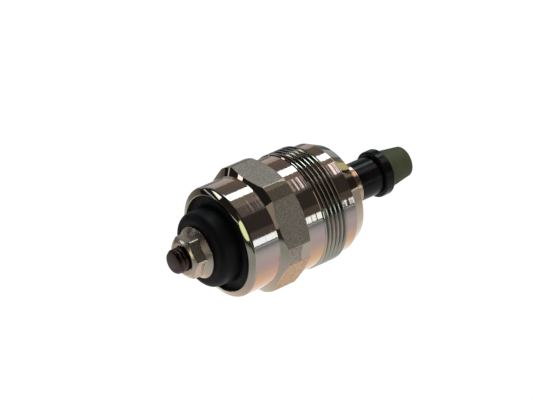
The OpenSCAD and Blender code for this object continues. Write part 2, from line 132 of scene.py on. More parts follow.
floor_paint = bpy.data.materials.new("floor_paint")
floor_paint.use_nodes = True
tree = floor_paint.node_tree
tree.nodes.remove(tree.nodes["Principled BSDF"])
paper = add_node(tree, "ShaderNodeBsdfDiffuse", {"Color": (0.92, 0.915, 0.9, 1)})
place = add_node(tree, "ShaderNodeNewGeometry").outputs["Position"]
to_camera = add_node(tree, "ShaderNodeLightPath").outputs["Is Camera Ray"]
white_left_by_shade = 1.0
for direction, near_mm, far_mm, level in floor_gloss_shade:
    distance = add_node(tree, "ShaderNodeVectorMath", {0: place, 1: direction}, operation="DOT_PRODUCT")
    share = add_node(
        tree, "ShaderNodeMapRange",
        {
            "Value": distance.outputs["Value"], "From Min": near_mm * MM, "From Max": far_mm * MM,
            "To Min": 1.0, "To Max": level,
        },
    )
    white_left_by_shade = add_node(
        tree, "ShaderNodeMath", {0: white_left_by_shade, 1: share.outputs[0]}, operation="MULTIPLY"
    ).outputs[0]
# Camera rays see the full white; gloss sees the floor with its painted shade
shaded_glow = add_node(tree, "ShaderNodeMath", {0: white_left_by_shade, 1: to_camera}, operation="MAXIMUM")
glow = add_node(tree, "ShaderNodeEmission", {"Color": WHITE, "Strength": shaded_glow.outputs[0]})
for_eye = add_node(
    tree, "ShaderNodeMapRange", {"Value": to_camera, "To Min": 1.0, "To Max": floor_whitening}
)
whitening = add_node(
    tree, "ShaderNodeMath", {0: seen_directly(tree), 1: for_eye.outputs[0]}, operation="MULTIPLY"
)
whitened = add_node(
    tree, "ShaderNodeMixShader", {0: whitening.outputs[0], 1: paper.outputs[0], 2: glow.outputs[0]}
)
under_side = add_node(tree, "ShaderNodeNewGeometry").outputs["Backfacing"]
clear = add_node(tree, "ShaderNodeBsdfTransparent")
one_sided = add_node(
    tree, "ShaderNodeMixShader", {0: under_side, 1: whitened.outputs[0], 2: clear.outputs[0]}
)
tree.links.new(one_sided.outputs[0], tree.nodes["Material Output"].inputs["Surface"])
floor_mesh.materials.append(floor_paint)

ambient_level = 0.55
world = bpy.data.worlds.new("world")
bpy.context.scene.world = world
world.use_nodes = True
tree = world.node_tree
level = add_node(
    tree, "ShaderNodeMapRange", {"Value": seen_directly(tree), "To Min": ambient_level, "To Max": 1.0}
)
tree.nodes["Background"].inputs["Color"].default_value = WHITE
tree.links.new(level.outputs[0], tree.nodes["Background"].inputs["Strength"])


def sky_card(name, pole, azimuths, elevations, radius_mm, colour, strength):
    """A lit or dark card on a sphere round the part, between two azimuths and two elevations in degrees.
    Only gloss sees it."""
    turn = pole.to_track_quat("Z", "Y").to_matrix() if pole != part_axis else Matrix.Identity(3)
    steps = 24
    shape = bmesh.new()
    grid = []
    for i in range(steps + 1):
        a = math.radians(azimuths[0] + (azimuths[1] - azimuths[0]) * i / steps)
        column = []
        for j in range(steps + 1):
            e = math.radians(elevations[0] + (elevations[1] - elevations[0]) * j / steps)
            place = Vector((math.cos(e) * math.cos(a), math.cos(e) * math.sin(a), math.sin(e)))
            column.append(shape.verts.new(turn @ place * radius_mm * MM))
        grid.append(column)
    for left, right in zip(grid, grid[1:]):
        for j in range(steps):
            shape.faces.new((left[j], right[j], right[j + 1], left[j + 1]))
    mesh = bpy.data.meshes.new(name)
    shape.to_mesh(mesh)
    shape.free()
    paint = bpy.data.materials.new(name)
    paint.use_nodes = True
    tree = paint.node_tree
    tree.nodes.remove(tree.nodes["Principled BSDF"])
    light = add_node(tree, "ShaderNodeEmission", {"Color": (*colour, 1), "Strength": strength})
    tree.links.new(light.outputs[0], tree.nodes["Material Output"].inputs["Surface"])
    mesh.materials.append(paint)
    card = bpy.data.objects.new(name, mesh)
    bpy.context.scene.collection.objects.link(card)
    card.visible_camera = False
    card.visible_diffuse = False
    card.visible_transmission = False
    card.visible_volume_scatter = False
    card.visible_shadow = False


tent_mm = 1600
wall_mm = 1500
card_mm = 1400
wall_elevations = (-80, 12)
sky_card("dark_tent", floor_up, (0, 360), (0.5, 90), tent_mm, (0.030, 0.026, 0.026), 1.0)
for name, azimuths, colour in (
    ("wall_low", (-104.5, -89), (0.17, 0.14, 0.11)),
    ("wall_black", (-89, -56), (0.068, 0.058, 0.048)),
    ("wall_brown", (-56, -33), (0.19, 0.16, 0.14)),
    ("wall_tan", (-33, -12), (0.38, 0.32, 0.27)),
    ("wall_dim", (4, 38), (0.20, 0.22, 0.22)),
    ("wall_grey", (38, 62), (0.52, 0.62, 0.74)),
):
    sky_card(name, part_axis, azimuths, wall_elevations, wall_mm, colour, 1.0)
sky_card("strip_light_high", part_axis, (-12, 4), (-61, -10), card_mm, (0.80, 1.0, 1.0), 5.0)
sky_card("strip_light_low", part_axis, (-117, -104.5), (-33.6, -10), card_mm, (0.91, 1.0, 0.97), 2.8)
# Straw shows in the nose, the end card in the lip, rose in the turned bands, and tan on the nut's flange
sky_card("straw_card", part_axis, (-2, 22), (-75, -62), card_mm, (1.0, 0.98, 0.6), 1.0)
sky_card("back_card", part_axis, (38, 52), (36, 52), card_mm, (1.0, 0.98, 0.95), 3.0)
sky_card("end_card", part_axis, (0, 360), (81.5, 90), 400, (1.0, 1.0, 0.6), 2.2)
sky_card("flange_card", part_axis, (-150, -10), (68, 80), card_mm, (0.58, 0.49, 0.42), 1.0)
sky_card("rose_card", part_axis, (-50, -24), (-60, -33.0), card_mm, (0.95, 0.83, 0.80), 3.0)


def soft_lamp(name, azimuth, elevation, distance_mm, size_mm, power):
    """A large square lamp that points at the part. Its own picture doesn't show in gloss."""
    a = math.radians(azimuth)
    e = math.radians(elevation)
    direction = Vector((math.cos(e) * math.cos(a), math.cos(e) * math.sin(a), math.sin(e)))
    light = bpy.data.lights.new(name, "AREA")
    light.size = size_mm * MM
    light.energy = power
    lamp = bpy.data.objects.new(name, light)
    lamp.location = direction * distance_mm * MM
    lamp.rotation_mode = "QUATERNION"
    lamp.rotation_quaternion = direction.to_track_quat("Z", "Y")
    lamp.visible_glossy = False
    bpy.context.scene.collection.objects.link(lamp)


soft_lamp("lamp_over", -25, -25, 900, 700, 5.0)
soft_lamp("lamp_side", -110, -20, 900, 500, 1.6)
soft_lamp("lamp_terminal", -40, 45, 900, 600, 2.4)


# Housing. One steel turning: nose, thread, collar, hexagon, barrel and the thin rim rolled over
# the cap. It is zinc plated with a thin passivate film, and the hexagon's flats keep the rough
# skin of the drawn bar.
def start_group(name, inputs, outputs):
    """A shader node group, with its inputs by their default values, and its way in and out."""
    group = bpy.data.node_groups.new(name, "ShaderNodeTree")
    for label, value in inputs.items():
        kind = "NodeSocketColor" if isinstance(value, tuple) else "NodeSocketFloat"
        group.interface.new_socket(label, in_out="INPUT", socket_type=kind).default_value = value
    for label, kind in outputs.items():
        group.interface.new_socket(label, in_out="OUTPUT", socket_type=kind)
    way_in = group.nodes.new("NodeGroupInput")
    way_out = group.nodes.new("NodeGroupOutput")
    return group, way_in.outputs, way_out.inputs


def texture_scale(group, size_mm):
    """The scale of a texture whose cells are size_mm wide."""
    return add_node(group, "ShaderNodeMath", {0: 1000.0, 1: size_mm}, operation="DIVIDE").outputs[0]


def mix_colours(tree, factor, first, second):
    """The colour between two others, each a value or an output. The node's sockets share their names,
    so its colours are given by number."""
    return add_node(
        tree, "ShaderNodeMix", {0: factor, 6: first, 7: second}, data_type="RGBA"
    ).outputs[2]


def build_turning_lines():
    """Fine lines that run round the axis, as a lathe tool leaves them."""
    group, given, made = start_group(
        "turning_lines",
        {"Lines per mm": 1.5, "Wander": 30.0, "Detail": 3.0},
        {"Height": "NodeSocketFloat"},
    )
    place = add_node(group, "ShaderNodeTexCoord").outputs["Object"]
    split = add_node(group, "ShaderNodeSeparateXYZ", {0: place}).outputs
    per_metre = add_node(
        group, "ShaderNodeMath", {0: given["Lines per mm"], 1: 1000.0}, operation="MULTIPLY"
    )
    stretched = [
        add_node(group, "ShaderNodeMath", {0: split[i], 1: factor}, operation="MULTIPLY").outputs[0]
        for i, factor in ((0, given["Wander"]), (1, given["Wander"]), (2, per_metre.outputs[0]))
    ]
    lined_up = add_node(group, "ShaderNodeCombineXYZ", dict(enumerate(stretched)))
    lines = add_node(
        group, "ShaderNodeTexNoise",
        {"Vector": lined_up.outputs[0], "Scale": 1.0, "Detail": given["Detail"], "Roughness": 0.6},
    )
    group.links.new(lines.outputs[0], made["Height"])
    return group


def build_passivate_film():
    """The thin passivate on zinc: plate colour with rosy and yellow-green clouds."""
    group, given, made = start_group(
        "passivate_film",
        {
            "Plate": (0.34, 0.31, 0.32, 1),
            "Rose": (0.40, 0.29, 0.28, 1),
            "Straw": (0.37, 0.35, 0.26, 1),
            "Cloud mm": 5.0,
            "Depth": 0.6,
        },
        {"Color": "NodeSocketColor"},
    )
    place = add_node(group, "ShaderNodeTexCoord").outputs["Object"]
    scale = texture_scale(group, given["Cloud mm"])
    rose = add_node(group, "ShaderNodeTexNoise", {"Vector": place, "Scale": scale, "Detail": 2.0})
    aside = (0.031, 0.017, 0.043)
    moved = add_node(group, "ShaderNodeVectorMath", {0: place, 1: aside}, operation="ADD").outputs[0]
    straw = add_node(group, "ShaderNodeTexNoise", {"Vector": moved, "Scale": scale, "Detail": 2.0})
    colour = given["Plate"]
    for cloud, tint in ((rose, "Rose"), (straw, "Straw")):
        spread = add_node(
            group, "ShaderNodeMapRange", {"Value": cloud.outputs[0], "From Min": 0.38, "From Max": 0.68}
        )
        share = add_node(
            group, "ShaderNodeMath", {0: spread.outputs[0], 1: given["Depth"]}, operation="MULTIPLY"
        )
        colour = mix_colours(group, share.outputs[0], colour, given[tint])
    group.links.new(colour, made["Color"])
    return group


def build_struck_grain():
    """Grain of a rough metal skin: small pits and bright tops over low mounds."""
    group, given, made = start_group(
        "struck_grain",
        {"Grain mm": 0.25},
        {"Height": "NodeSocketFloat", "Tops": "NodeSocketFloat"},
    )
    place = add_node(group, "ShaderNodeTexCoord").outputs["Object"]
    scale = texture_scale(group, given["Grain mm"])
    height = add_node(
        group, "ShaderNodeTexNoise", {"Vector": place, "Scale": scale, "Detail": 5.0, "Roughness": 0.75}
    )
    tops = add_node(
        group, "ShaderNodeMapRange", {"Value": height.outputs[0], "From Min": 0.38, "From Max": 0.66}
    )
    group.links.new(height.outputs[0], made["Height"])
    group.links.new(tops.outputs[0], made["Tops"])
    return group


def place_group(tree, group, sockets):
    """A node that stands for a group, with its inputs set or linked."""
    return add_node(tree, "ShaderNodeGroup", sockets, node_tree=group).outputs


def add_bump(tree, height, depth_mm, normal=None):
    """A bump that raises the surface by depth_mm between a height of 0 and 1."""
    sockets = {"Height": height, "Distance": depth_mm * MM, "Strength": 1.0}
    if normal is not None:
        sockets["Normal"] = normal
    return add_node(tree, "ShaderNodeBump", sockets).outputs[0]


def start_material(name, **values):
    """A material and its tree and shader, with the values that are the same all over the surface."""
    material = bpy.data.materials.new(name)
    material.use_nodes = True
    shader = material.node_tree.nodes["Principled BSDF"]
    for label, value in values.items():
        shader.inputs[label.replace("_", " ")].default_value = value
    return material, material.node_tree, shader


def paint_grazing_sheen(tree, colour, stops, strength=1.0):
    """Plating colour by viewing angle: grey face on, then pink, orange and a pale brightened past the plate
    at a grazing look. Partly the film's own iridescence, partly a painted sheen and painted warm reflection.
    """
    facing = add_node(tree, "ShaderNodeLayerWeight", {"Blend": 0.5}).outputs["Facing"]
    ramp = add_node(tree, "ShaderNodeValToRGB", {0: facing})
    # Tints above 1 brighten the colour past the plate at a grazing look: painted sheen
    sheen_tints = ((1, 1, 1, 1), (1.04, 0.86, 0.86, 1), (1.6, 1.07, 0.64, 1), (1.9, 1.5, 1.1, 1))
    elements = ramp.color_ramp.elements
    elements.remove(elements[1])
    elements[0].position = stops[0]
    elements[0].color = sheen_tints[0]
    for position, tint in zip(stops[1:], sheen_tints[1:]):
        elements.new(position).color = tint
    return add_node(
        tree, "ShaderNodeMix", {0: strength, 6: colour, 7: ramp.outputs[0]},
        data_type="RGBA", blend_type="MULTIPLY",
    ).outputs[2]


turning_lines = build_turning_lines()
passivate_film = build_passivate_film()
struck_grain = build_struck_grain()


def plated_zinc(name, wave_mm, line_mm, plate, tint, gloss_range):
    """Steel under zinc: plating clouds, and tool lines over waves, each of a given depth, with a share
    (tint) of painted grazing sheen.
    """
    material, tree, shader = start_material(name, Metallic=1.0)
    film = place_group(tree, passivate_film, {"Cloud mm": 6.0, "Depth": 0.55, "Plate": (*plate, 1)})
    fine = place_group(tree, turning_lines, {"Lines per mm": 6.0, "Wander": 60.0})
    coarse = place_group(tree, turning_lines, {"Lines per mm": 1.3, "Wander": 12.0, "Detail": 0.6})
    waves = add_bump(tree, coarse["Height"], wave_mm)
    tree.links.new(add_bump(tree, fine["Height"], line_mm, normal=waves), shader.inputs["Normal"])
    # Painted grazing sheen over the film colour, at the share tint
    colour = paint_grazing_sheen(tree, film["Color"], (0.22, 0.37, 0.58, 0.8), tint)
    tree.links.new(colour, shader.inputs["Base Color"])
    gloss = add_node(
        tree, "ShaderNodeMapRange",
        {
            "Value": fine["Height"], "From Min": 0.3, "From Max": 0.7,
            "To Min": gloss_range[0], "To Max": gloss_range[1],
        },
    )
    tree.links.new(gloss.outputs[0], shader.inputs["Roughness"])
    return material


turned_zinc = plated_zinc(
    "turned_zinc", wave_mm=0.024, line_mm=0.002, plate=(0.34, 0.31, 0.32), tint=1.0, gloss_range=(0.05, 0.11)
)
formed_zinc = plated_zinc(
    "formed_zinc", wave_mm=0.0006, line_mm=0.0003, plate=(0.32, 0.33, 0.27), tint=0.35,
    gloss_range=(0.03, 0.07),
)
# Thread zone: a darker plate without the grazing sheen, painted shade for the thread's grooves; its higher
# roughness is its own
thread_shade_zinc = plated_zinc(
    "thread_shade_zinc", wave_mm=0.0006, line_mm=0.0003, plate=(0.22, 0.225, 0.2), tint=0.0, gloss_range=(0.1, 0.2)
)

# Rough flats of the hexagon
rough_zinc, tree, shader = start_material("rough_zinc", Metallic=1.0)
film = place_group(
    tree, passivate_film,
    {"Cloud mm": 3.0, "Depth": 0.5, "Plate": (0.475, 0.425, 0.385, 1), "Rose": (0.46, 0.365, 0.27, 1)},
)
grain = place_group(tree, struck_grain, {"Grain mm": 0.26})
colour = mix_colours(tree, grain["Tops"], (0.18, 0.152, 0.128, 1), film["Color"])
# Painted grazing sheen over the rough skin's colour
colour = paint_grazing_sheen(tree, colour, (0.44, 0.52, 0.64, 0.85), 1.15)
tree.links.new(colour, shader.inputs["Base Color"])
tree.links.new(add_bump(tree, grain["Height"], 0.035), shader.inputs["Normal"])
gloss = add_node(tree, "ShaderNodeMapRange", {"Value": grain["Tops"], "To Min": 0.55, "To Max": 0.36})
tree.links.new(gloss.outputs[0], shader.inputs["Roughness"])


def soften(corners, steps=4):
    """An outline's points from its corners (radius, height, rounding), steps + 1 for each rounded one."""
    points = []
    count = len(corners)
    for i, (r, z, rounding) in enumerate(corners):
        here = Vector((r, z))
        back = Vector(corners[i - 1][:2]) - here
        ahead = Vector(corners[(i + 1) % count][:2]) - here
        if rounding == 0 or back.length < 1e-6 or ahead.length < 1e-6:
            points.append((r, z))
            continue
        turn = back.angle(ahead)
        cut = min(rounding / math.tan(turn / 2), back.length * 0.45, ahead.length * 0.45)
        start = here + back.normalized() * cut
        stop = here + ahead.normalized() * cut
        for k in range(steps + 1):
            t = k / steps
            spot = (1 - t) ** 2 * start + 2 * t * (1 - t) * here + t**2 * stop
            points.append((spot.x, spot.y))
    return points


def turned_mesh(name, columns, outline_at, closed, sharp_deg):
    """A mesh from one outline of (radius, height) in mm at each angle. Points that meet are joined."""
    shape = bmesh.new()
    ends = [*columns, columns[0] + 2 * math.pi]
    rows = [
        [shape.verts.new((r * math.cos(a) * MM, r * math.sin(a) * MM, z * MM)) for r, z in outline_at(a)]
        for a in ends
    ]
    for left, right in zip(rows, rows[1:]):
        last = len(left) if closed else len(left) - 1
        for i in range(last):
            k = (i + 1) % len(left)
            shape.faces.new((left[i], right[i], right[k], left[k]))
    bmesh.ops.remove_doubles(shape, verts=shape.verts, dist=0.0004 * MM)
    bmesh.ops.dissolve_degenerate(shape, edges=shape.edges, dist=0.0002 * MM)
    bmesh.ops.recalc_face_normals(shape, faces=shape.faces)
    mesh = bpy.data.meshes.new(name)
    shape.to_mesh(mesh)
    shape.free()
    mesh.shade_smooth()
    mesh.set_sharp_from_angle(angle=math.radians(sharp_deg))
    made = bpy.data.objects.new(name, mesh)
    bpy.context.scene.collection.objects.link(made)
    even = made.modifiers.new("even_normals", "WEIGHTED_NORMAL")
    even.keep_sharp = True
    return made


def thread_rows(angle, low, high, pitch, crest, root, radius_limit):
    """Points of a screw thread at one angle, held between two heights."""
    edge = 0.03 * pitch
    flat = 0.26 * pitch
    flank_end = 0.56 * pitch
    root_end = 0.65 * pitch
    shape = (
        (0, crest - edge),
        (edge, crest),
        (flat - edge, crest),
        (flat, crest - edge),
        (flank_end, root + edge / 2),
        (flank_end + edge, root),
        (root_end - edge, root),
        (root_end, root + edge / 2),
    )
    points = []
    first = math.floor(low / pitch) - 2
    last = math.ceil(high / pitch) + 1
    for k in range(first, last):
        for rise, radius in shape:
            z = (k + angle / (2 * math.pi)) * pitch + rise
            held = min(max(z, low), high)
            points.append((radius_limit(held, radius), held))
    return points


thread_r = 12.0
thread_root_r = 11.38
thread_pitch = 1.0
pilot_r = 11.35
nose_r = 10.125
collar_r = 11.75
flat_r = 12.0
corner_r = 12.92
foot_r = 11.9
barrel_r = 11.35
neck_hole_r = 4.595
lip_r = 9.85
rim_r = 10.35
bore_r = 9.6
ring_seat_r = 5.725
z_end = -11.1
z_nose = -8.4
z_pilot = -6.0
z_chamfer = -5.4
z_runout = -0.3
z_hex = 3.95
z_barrel = 10.75
z_shoulder = 16.74
shoulder_round = 0.6
z_patch = 6.7
z_top = 17.45
z_under_lip = 16.57
z_plate = 12.5
z_floor = -8.0
z_ring_seat = -9.05
hex_chamfer = math.tan(math.radians(31))
corner_blend = 0.012
flat_azimuth = math.radians(-90)
broken_edge = 0.12
fine_edge = 0.06
nose_round = 0.2
collar_chamfer = (thread_r - 0.02, -0.14)
lip_edge = 0.12
lip_edge_round = 0.08
lip_crest_drop = 0.02
lip_wave_mm = 0.012
lip_ripple_mm = 0.008
patch_wave_mm = 0.25
runout_length = 0.4


def from_side(angle, first_side, sides):
    """Angle from the middle of the nearest side of a hexagon or square with a side at first_side."""
    half = math.pi / sides
    return (angle - first_side + half) % (2 * half) - half


def flat_at(angle):
    """Radius of the hexagon at an angle: a flat, or the turned corner where two flats stay apart."""
    from_flat = from_side(angle, flat_azimuth, 6)
    flat = flat_r / math.cos(from_flat)
    low = min(flat, corner_r)
    return low - corner_blend * math.log1p(math.exp(-abs(flat - corner_r) / corner_blend))


def housing_thread_limit(z, radius):
    """The thread fades out below the collar and starts in a chamfer above the pilot."""
    fade = min(1, max(0, (z_runout - z) / runout_length))
    depth = thread_r - radius
    chamfer = pilot_r + (z - z_pilot) * (thread_r - pilot_r) / (z_chamfer - z_pilot)
    return min(thread_r - depth * fade, chamfer)


def housing_outline(angle):
    """The housing's closed outline: hollow end, nose and pilot, thread, hexagon and barrel, lip, inside."""
    flat = flat_at(angle)
    lip_wave = lip_wave_mm * math.sin(5 * angle) + lip_ripple_mm * math.sin(11 * angle + 1)
    start = soften([
        (bore_r, z_floor, 0), (ring_seat_r, z_floor, 0), (ring_seat_r, z_ring_seat, 0),
        (neck_hole_r, z_ring_seat, 0), (neck_hole_r, z_end, 0.1), (nose_r, z_end, broken_edge),
        (pilot_r, z_nose, nose_round), (pilot_r, z_pilot, 0),
    ])
    thread = thread_rows(
        angle, z_pilot, z_runout, thread_pitch, thread_r, thread_root_r, housing_thread_limit
    )
    # The thread ends at the first of these corners. The wavy ring at the patch lets the rough skin
    # stop in an uneven line
    hexagon = soften([
        (thread_r, z_runout, 0), (*collar_chamfer, 0.1), (collar_r, 0, 0.05),
        (collar_r, z_hex, broken_edge), (foot_r, z_hex, 0.03),
        (flat, z_hex + (flat - foot_r) * hex_chamfer, fine_edge),
        (flat, z_patch + patch_wave_mm * math.sin(17 * angle), 0),
        (flat, z_barrel - (flat - barrel_r) * hex_chamfer, fine_edge),
        (barrel_r, z_barrel, fine_edge), (barrel_r, z_shoulder + lip_wave, shoulder_round),
        (lip_r + lip_edge, z_top - lip_crest_drop + lip_wave, lip_edge_round),
        (lip_r, z_top - lip_edge, lip_edge_round), (lip_r, z_under_lip, 0),
    ])[1:]
    inside = [(rim_r, z_under_lip - rim_r + lip_r), (rim_r, z_plate), (bore_r, z_plate)]
    return start + thread + hexagon + inside


flat_half_angle = math.acos(flat_r / corner_r)
columns = [math.radians(1.5 * k) for k in range(240)]
for k in range(6):
    for side in (-1, 1):
        edge_angle = flat_azimuth + math.radians(60 * k) + side * flat_half_angle
        columns += [edge_angle + math.radians(0.25 * n) for n in range(-3, 4)]
columns = sorted({round(a % (2 * math.pi), 6) for a in columns})
housing = turned_mesh("housing_shell", columns, housing_outline, closed=True, sharp_deg=35)
for material in (turned_zinc, formed_zinc, rough_zinc, thread_shade_zinc):
    housing.data.materials.append(material)

# The rough skin covers the flats and on most of them laps over the edges. It covers one corner
# too, above the patch that the tool reached
TURNED, FORMED, ROUGH, THREAD_SHADE = range(4)
rough_corner_deg = (230, 250)
clean_edges_from_deg = 300
rough_margin = 0.012
patch_margin = 0.3
skin_margin = 0.1
upright_slope = 0.1
formed_slope = 0.15
for face in housing.data.polygons:
    x, y, z = face.center / MM
    from_axis = math.hypot(x, y)
    slope = abs(face.normal.z)
    azimuth = math.degrees(math.atan2(y, x)) % 360
    from_flat = from_side(math.radians(azimuth), flat_azimuth, 6)
    if z_hex < z < z_barrel and from_axis > flat_r - skin_margin and slope < upright_slope:
        rough_half = flat_half_angle + (rough_margin if azimuth < clean_edges_from_deg else 0)
        rough_corner = rough_corner_deg[0] < azimuth < rough_corner_deg[1] and z > z_patch - patch_margin
        face.material_index = ROUGH if abs(from_flat) < rough_half or rough_corner else FORMED
    elif z_pilot < z < z_runout and from_axis > thread_root_r - skin_margin:
        # The whole thread, crests included, takes the darker plate: painted shade
        face.material_index = THREAD_SHADE
    elif slope > formed_slope:
        face.material_index = FORMED
    else:
        face.material_index = TURNED
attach(housing, "body")
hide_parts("housing")


# Guide tube. Drawn from non-magnetic steel sheet, flanged inside the end wall. Its open end
# shows as the neck and has a small rolled rounding.
def dress(node, material):
    """A CAD node keeps its shape and gets a finish."""
    piece = bpy.data.objects[node]
    for place in piece.material_slots:
        place.material = material


tube_steel, tree, shader = start_material("tube_steel_finish", Metallic=1.0)
film = place_group(
    tree, passivate_film,
    {"Cloud mm": 3.0, "Depth": 0.4, "Plate": (0.42, 0.30, 0.21, 1), "Rose": (0.45, 0.28, 0.2, 1)},
)
drawn = place_group(tree, turning_lines, {"Lines per mm": 3.0, "Wander": 40.0})
# Painted grazing sheen over the tube's film colour, at half share
colour = paint_grazing_sheen(tree, film["Color"], (0.22, 0.37, 0.58, 0.8), 0.5)
tree.links.new(colour, shader.inputs["Base Color"])
tree.links.new(add_bump(tree, drawn["Height"], 0.02), shader.inputs["Normal"])
gloss = add_node(tree, "ShaderNodeMapRange", {"Value": drawn["Height"], "To Min": 0.1, "To Max": 0.26})
tree.links.new(gloss.outputs[0], shader.inputs["Roughness"])
dress("guide_tube", tube_steel)


# Plunger. Turned from soft steel in one piece with its head, and blacked. It slides in the
# tube, and the return spring pushes it out.
def build_fine_skin():
    """The skin of a moulding or a blacked part: fine grain, and soft patches that are a little duller."""
    group, given, made = start_group(
        "fine_skin",
        {"Grain mm": 0.15, "Patch mm": 2.5},
        {"Height": "NodeSocketFloat", "Patches": "NodeSocketFloat"},
    )
    place = add_node(group, "ShaderNodeTexCoord").outputs["Object"]
    fine = texture_scale(group, given["Grain mm"])
    wide = texture_scale(group, given["Patch mm"])
    grain = add_node(group, "ShaderNodeTexNoise", {"Vector": place, "Scale": fine, "Detail": 3.0})
    patches = add_node(
        group, "ShaderNodeTexNoise", {"Vector": place, "Scale": wide, "Detail": 4.0, "Roughness": 0.65}
    )
    group.links.new(grain.outputs[0], made["Height"])
    group.links.new(patches.outputs[0], made["Patches"])
    return group


fine_skin = build_fine_skin()

black_steel, tree, shader = start_material("black_steel_finish", Specular_IOR_Level=0.11)
skin = place_group(tree, fine_skin, {"Grain mm": 0.12, "Patch mm": 1.8})
tool_lines = place_group(tree, turning_lines, {"Lines per mm": 4.0, "Wander": 40.0})
wear = add_node(
    tree, "ShaderNodeMapRange", {"Value": skin["Patches"], "From Min": 0.4, "From Max": 0.75}
)
colour = mix_colours(tree, wear.outputs[0], (0.002, 0.0016, 0.0018, 1), (0.005, 0.0042, 0.0045, 1))
tree.links.new(colour, shader.inputs["Base Color"])
grained = add_bump(tree, skin["Height"], 0.004)
tree.links.new(add_bump(tree, tool_lines["Height"], 0.012, normal=grained), shader.inputs["Normal"])
gloss = add_node(tree, "ShaderNodeMapRange", {"Value": skin["Patches"], "To Min": 0.1, "To Max": 0.26})
tree.links.new(gloss.outputs[0], shader.inputs["Roughness"])
dress("plunger", black_steel)


# Seal tip. Olive fuel-proof rubber, a cone moulded onto the plunger's head and locked by a
# bead inside it.
def skin_material(name, dark, light, gloss_range, grain_mm=0.15, patch_mm=2.5, depth_mm=0.006, **values):
    """Rubber, plastic or paper: two near colours in soft patches over a fine grain."""
    material, tree, shader = start_material(name, **values)
    skin = place_group(tree, fine_skin, {"Grain mm": grain_mm, "Patch mm": patch_mm})
    spread = add_node(
        tree, "ShaderNodeMapRange", {"Value": skin["Patches"], "From Min": 0.35, "From Max": 0.65}
    ).outputs[0]
    tree.links.new(mix_colours(tree, spread, (*dark, 1), (*light, 1)), shader.inputs["Base Color"])
    gloss = add_node(
        tree, "ShaderNodeMapRange", {"Value": spread, "To Min": gloss_range[0], "To Max": gloss_range[1]}
    )
    tree.links.new(gloss.outputs[0], shader.inputs["Roughness"])
    tree.links.new(add_bump(tree, skin["Height"], depth_mm), shader.inputs["Normal"])
    return material


olive_rubber = skin_material(
    "olive_rubber_finish", (0.026, 0.031, 0.010), (0.041, 0.045, 0.016), (0.6, 0.8),
    grain_mm=0.2, patch_mm=2.0, depth_mm=0.012, Specular_IOR_Level=0.3,
)
dress("seal_tip", olive_rubber)

# Return spring and wave washer. Bright drawn spring steel, the spring wound from round wire
# and the washer pressed from strip.
spring_steel, tree, shader = start_material("spring_steel_finish", Metallic=1.0)
skin = place_group(tree, fine_skin, {"Grain mm": 0.1, "Patch mm": 0.8})
colour = mix_colours(tree, skin["Patches"], (0.32, 0.3, 0.28, 1), (0.5, 0.48, 0.46, 1))
tree.links.new(colour, shader.inputs["Base Color"])
gloss = add_node(tree, "ShaderNodeMapRange", {"Value": skin["Patches"], "To Min": 0.2, "To Max": 0.4})
tree.links.new(gloss.outputs[0], shader.inputs["Roughness"])
tree.links.new(add_bump(tree, skin["Height"], 0.003), shader.inputs["Normal"])
dress("return_spring", spring_steel)
dress("wave_washer", spring_steel)

# Fixed core and end plate. Soft iron, turned, the core riveted into the plate. The plate
# rests on a step of the housing and closes the magnetic path.
soft_iron, tree, shader = start_material("soft_iron_finish", Metallic=1.0)
tool_lines = place_group(tree, turning_lines, {"Lines per mm": 5.0, "Wander": 30.0})
colour = mix_colours(tree, tool_lines["Height"], (0.2, 0.19, 0.185, 1), (0.36, 0.35, 0.34, 1))
tree.links.new(colour, shader.inputs["Base Color"])
gloss = add_node(
    tree, "ShaderNodeMapRange", {"Value": tool_lines["Height"], "To Min": 0.28, "To Max": 0.45}
)
tree.links.new(gloss.outputs[0], shader.inputs["Roughness"])
tree.links.new(add_bump(tree, tool_lines["Height"], 0.01), shader.inputs["Normal"])
dress("fixed_core", soft_iron)
dress("end_plate", soft_iron)

# Brass pieces. The thin disc on the core's face keeps the plunger from sticking, and the
# strip feeds the stud. Both are stamped from rolled sheet.
brass, tree, shader = start_material("brass_finish", Metallic=1.0)
skin = place_group(tree, fine_skin, {"Grain mm": 0.1, "Patch mm": 1.5})
colour = mix_colours(tree, skin["Patches"], (0.55, 0.36, 0.13, 1), (0.72, 0.52, 0.24, 1))
tree.links.new(colour, shader.inputs["Base Color"])
gloss = add_node(tree, "ShaderNodeMapRange", {"Value": skin["Patches"], "To Min": 0.18, "To Max": 0.38})
tree.links.new(gloss.outputs[0], shader.inputs["Roughness"])
tree.links.new(add_bump(tree, skin["Height"], 0.003), shader.inputs["Normal"])
dress("core_shim", brass)
dress("contact_strip", brass)

# Coil. Enamelled copper wire wound on a moulded nylon bobbin and held by a turn of cloth
# tape. One end of the wire goes to the strip and one to earth.
copper_wire, tree, shader = start_material("copper_wire_finish", Metallic=1.0, Coat_Weight=0.6)
turns = place_group(tree, turning_lines, {"Lines per mm": 3.3, "Wander": 15.0})
colour = mix_colours(tree, turns["Height"], (0.42, 0.16, 0.07, 1), (0.72, 0.34, 0.17, 1))
tree.links.new(colour, shader.inputs["Base Color"])
gloss = add_node(tree, "ShaderNodeMapRange", {"Value": turns["Height"], "To Min": 0.2, "To Max": 0.34})
tree.links.new(gloss.outputs[0], shader.inputs["Roughness"])
tree.links.new(add_bump(tree, turns["Height"], 0.02), shader.inputs["Normal"])
for node in ("winding", "supply_lead", "earth_lead"):
    dress(node, copper_wire)
nylon = skin_material("bobbin_nylon", (0.62, 0.58, 0.47), (0.7, 0.66, 0.55), (0.35, 0.5))
dress("bobbin", nylon)
cloth_tape = skin_material(
    "cloth_tape", (0.5, 0.42, 0.2), (0.6, 0.52, 0.28), (0.7, 0.85), grain_mm=0.3, patch_mm=1.0, depth_mm=0.02
)
dress("winding_tape", cloth_tape)

